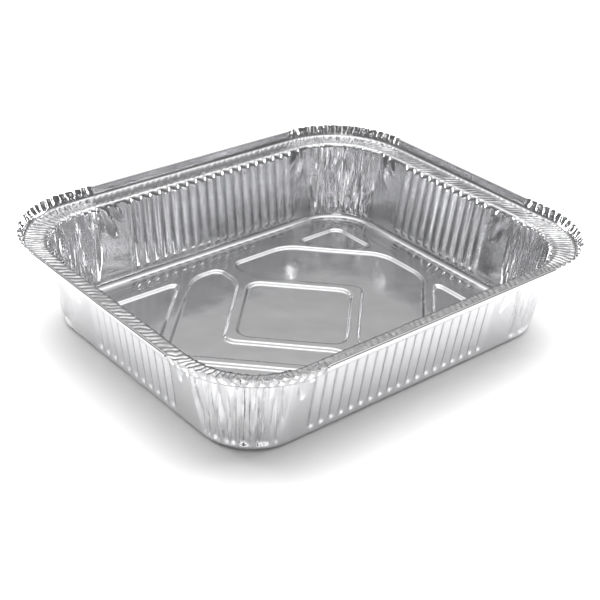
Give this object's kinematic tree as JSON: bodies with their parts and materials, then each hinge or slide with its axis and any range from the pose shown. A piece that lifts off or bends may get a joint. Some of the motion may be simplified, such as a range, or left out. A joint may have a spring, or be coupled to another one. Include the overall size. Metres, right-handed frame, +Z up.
{
  "type": "aluminium foil tray",
  "caption": "Disposable rectangular foil baking tray with fluted flared walls, gathered corners, a stepped rim with a rolled hem and an embossed base",
  "frame": {"origin": "On the table, under the middle of the base", "axes": "+Z up out of the tray, X along the long side of the rim, Y along the short side"},
  "size_m": [0.326, 0.275, 0.068],
  "materials": {
    "foil": "thin bright rolled foil, crisp creases"
  },
  "bodies": {
    "root": {"foil_tray": "foil"}
  },
  "joints": []
}
